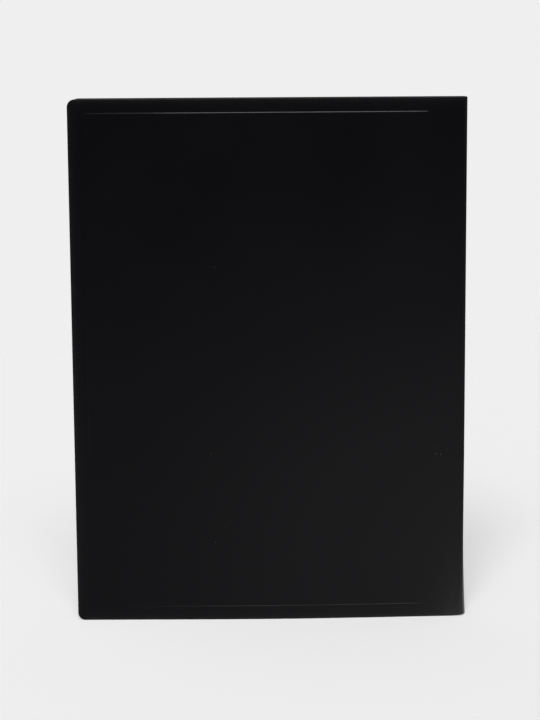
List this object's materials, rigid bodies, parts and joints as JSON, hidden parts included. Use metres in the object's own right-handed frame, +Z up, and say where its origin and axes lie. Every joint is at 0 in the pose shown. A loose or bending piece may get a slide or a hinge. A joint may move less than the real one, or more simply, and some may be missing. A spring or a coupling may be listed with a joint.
{
  "type": "clear pocket display book",
  "caption": "A4 display book: a black plastic cover creased at the spine, with clear top-loading pockets welded to a binding that fan open with the covers.",
  "frame": {"origin": "on the floor under the middle of the book's box, as it stands on its bottom edges", "axes": "+Z up along the spine, +X from the fore-edge to the spine, +Y from the back cover to the front cover"},
  "size_m": [0.2312, 0.023, 0.31],
  "materials": {
    "cover_sheet": "satin black polypropylene sheet with a fine grain",
    "binding": "black polypropylene strip",
    "binding_weld": "milky welded film",
    "clear_film": "clear polypropylene film"
  },
  "bodies": {
    "spine": {"spine_panel": "cover_sheet", "binding_strip": "binding", "binding_block": "binding_weld"},
    "front_cover": {"front_cover": "cover_sheet"},
    "back_cover": {"back_cover": "cover_sheet", "cover_pocket_seam": "clear_film", "cover_pocket_film": "clear_film"},
    "pocket_01": {"pocket_01": "clear_film"},
    "pocket_02": {"pocket_02": "clear_film"},
    "pocket_03": {"pocket_03": "clear_film"},
    "pocket_04": {"pocket_04": "clear_film"},
    "pocket_05": {"pocket_05": "clear_film"},
    "pocket_06": {"pocket_06": "clear_film"},
    "pocket_07": {"pocket_07": "clear_film"},
    "pocket_08": {"pocket_08": "clear_film"},
    "pocket_09": {"pocket_09": "clear_film"},
    "pocket_10": {"pocket_10": "clear_film"},
    "pocket_11": {"pocket_11": "clear_film"},
    "pocket_12": {"pocket_12": "clear_film"},
    "pocket_13": {"pocket_13": "clear_film"},
    "pocket_14": {"pocket_14": "clear_film"},
    "pocket_15": {"pocket_15": "clear_film"},
    "pocket_16": {"pocket_16": "clear_film"},
    "pocket_17": {"pocket_17": "clear_film"},
    "pocket_18": {"pocket_18": "clear_film"},
    "pocket_19": {"pocket_19": "clear_film"},
    "pocket_20": {"pocket_20": "clear_film"}
  },
  "joints": [
    {"name": "front_cover_hinge", "type": "hinge", "parent": "spine", "child": "front_cover", "pos_m": [0.11529, 0.00715, 0], "axis": [0, 0, -1], "range_deg": [-1, 179]},
    {"name": "back_cover_hinge", "type": "hinge", "parent": "spine", "child": "back_cover", "pos_m": [0.11529, -0.00715, 0], "axis": [0, 0, 1], "range_deg": [-1, 179]},
    {"name": "pocket_01_turn", "type": "hinge", "parent": "spine", "child": "pocket_01", "pos_m": [0.11234, 0.00608, 0], "axis": [0, 0, -1], "range_deg": [-0.45, 79.66]},
    {"name": "pocket_02_turn", "type": "hinge", "parent": "spine", "child": "pocket_02", "pos_m": [0.11234, 0.00544, 0], "axis": [0, 0, -1], "range_deg": [-0.4, 71.27]},
    {"name": "pocket_03_turn", "type": "hinge", "parent": "spine", "child": "pocket_03", "pos_m": [0.11234, 0.0048, 0], "axis": [0, 0, -1], "range_deg": [-0.35, 62.89]},
    {"name": "pocket_04_turn", "type": "hinge", "parent": "spine", "child": "pocket_04", "pos_m": [0.11234, 0.00416, 0], "axis": [0, 0, -1], "range_deg": [-0.31, 54.5]},
    {"name": "pocket_05_turn", "type": "hinge", "parent": "spine", "child": "pocket_05", "pos_m": [0.11234, 0.00352, 0], "axis": [0, 0, -1], "range_deg": [-0.26, 46.12]},
    {"name": "pocket_06_turn", "type": "hinge", "parent": "spine", "child": "pocket_06", "pos_m": [0.11234, 0.00288, 0], "axis": [0, 0, -1], "range_deg": [-0.21, 37.73]},
    {"name": "pocket_07_turn", "type": "hinge", "parent": "spine", "child": "pocket_07", "pos_m": [0.11234, 0.00224, 0], "axis": [0, 0, -1], "range_deg": [-0.16, 29.35]},
    {"name": "pocket_08_turn", "type": "hinge", "parent": "spine", "child": "pocket_08", "pos_m": [0.11234, 0.0016, 0], "axis": [0, 0, -1], "range_deg": [-0.12, 20.96]},
    {"name": "pocket_09_turn", "type": "hinge", "parent": "spine", "child": "pocket_09", "pos_m": [0.11234, 0.00096, 0], "axis": [0, 0, -1], "range_deg": [-0.07, 12.58]},
    {"name": "pocket_10_turn", "type": "hinge", "parent": "spine", "child": "pocket_10", "pos_m": [0.11234, 0.00032, 0], "axis": [0, 0, -1], "range_deg": [-0.02, 4.19]},
    {"name": "pocket_11_turn", "type": "hinge", "parent": "spine", "child": "pocket_11", "pos_m": [0.11234, -0.00032, 0], "axis": [0, 0, 1], "range_deg": [-0.02, 4.19]},
    {"name": "pocket_12_turn", "type": "hinge", "parent": "spine", "child": "pocket_12", "pos_m": [0.11234, -0.00096, 0], "axis": [0, 0, 1], "range_deg": [-0.07, 12.58]},
    {"name": "pocket_13_turn", "type": "hinge", "parent": "spine", "child": "pocket_13", "pos_m": [0.11234, -0.0016, 0], "axis": [0, 0, 1], "range_deg": [-0.12, 20.96]},
    {"name": "pocket_14_turn", "type": "hinge", "parent": "spine", "child": "pocket_14", "pos_m": [0.11234, -0.00224, 0], "axis": [0, 0, 1], "range_deg": [-0.16, 29.35]},
    {"name": "pocket_15_turn", "type": "hinge", "parent": "spine", "child": "pocket_15", "pos_m": [0.11234, -0.00288, 0], "axis": [0, 0, 1], "range_deg": [-0.21, 37.73]},
    {"name": "pocket_16_turn", "type": "hinge", "parent": "spine", "child": "pocket_16", "pos_m": [0.11234, -0.00352, 0], "axis": [0, 0, 1], "range_deg": [-0.26, 46.12]},
    {"name": "pocket_17_turn", "type": "hinge", "parent": "spine", "child": "pocket_17", "pos_m": [0.11234, -0.00416, 0], "axis": [0, 0, 1], "range_deg": [-0.31, 54.5]},
    {"name": "pocket_18_turn", "type": "hinge", "parent": "spine", "child": "pocket_18", "pos_m": [0.11234, -0.0048, 0], "axis": [0, 0, 1], "range_deg": [-0.35, 62.89]},
    {"name": "pocket_19_turn", "type": "hinge", "parent": "spine", "child": "pocket_19", "pos_m": [0.11234, -0.00544, 0], "axis": [0, 0, 1], "range_deg": [-0.4, 71.27]},
    {"name": "pocket_20_turn", "type": "hinge", "parent": "spine", "child": "pocket_20", "pos_m": [0.11234, -0.00608, 0], "axis": [0, 0, 1], "range_deg": [-0.45, 79.66]}
  ],
  "couplings": [
    {"joint": "pocket_01_turn", "follows": "front_cover_hinge", "ratio": 0.445},
    {"joint": "pocket_02_turn", "follows": "front_cover_hinge", "ratio": 0.39816},
    {"joint": "pocket_03_turn", "follows": "front_cover_hinge", "ratio": 0.35132},
    {"joint": "pocket_04_turn", "follows": "front_cover_hinge", "ratio": 0.30447},
    {"joint": "pocket_05_turn", "follows": "front_cover_hinge", "ratio": 0.25763},
    {"joint": "pocket_06_turn", "follows": "front_cover_hinge", "ratio": 0.21079},
    {"joint": "pocket_07_turn", "follows": "front_cover_hinge", "ratio": 0.16395},
    {"joint": "pocket_08_turn", "follows": "front_cover_hinge", "ratio": 0.11711},
    {"joint": "pocket_09_turn", "follows": "front_cover_hinge", "ratio": 0.070263},
    {"joint": "pocket_10_turn", "follows": "front_cover_hinge", "ratio": 0.023421},
    {"joint": "pocket_11_turn", "follows": "back_cover_hinge", "ratio": 0.023421},
    {"joint": "pocket_12_turn", "follows": "back_cover_hinge", "ratio": 0.070263},
    {"joint": "pocket_13_turn", "follows": "back_cover_hinge", "ratio": 0.11711},
    {"joint": "pocket_14_turn", "follows": "back_cover_hinge", "ratio": 0.16395},
    {"joint": "pocket_15_turn", "follows": "back_cover_hinge", "ratio": 0.21079},
    {"joint": "pocket_16_turn", "follows": "back_cover_hinge", "ratio": 0.25763},
    {"joint": "pocket_17_turn", "follows": "back_cover_hinge", "ratio": 0.30447},
    {"joint": "pocket_18_turn", "follows": "back_cover_hinge", "ratio": 0.35132},
    {"joint": "pocket_19_turn", "follows": "back_cover_hinge", "ratio": 0.39816},
    {"joint": "pocket_20_turn", "follows": "back_cover_hinge", "ratio": 0.445}
  ]
}
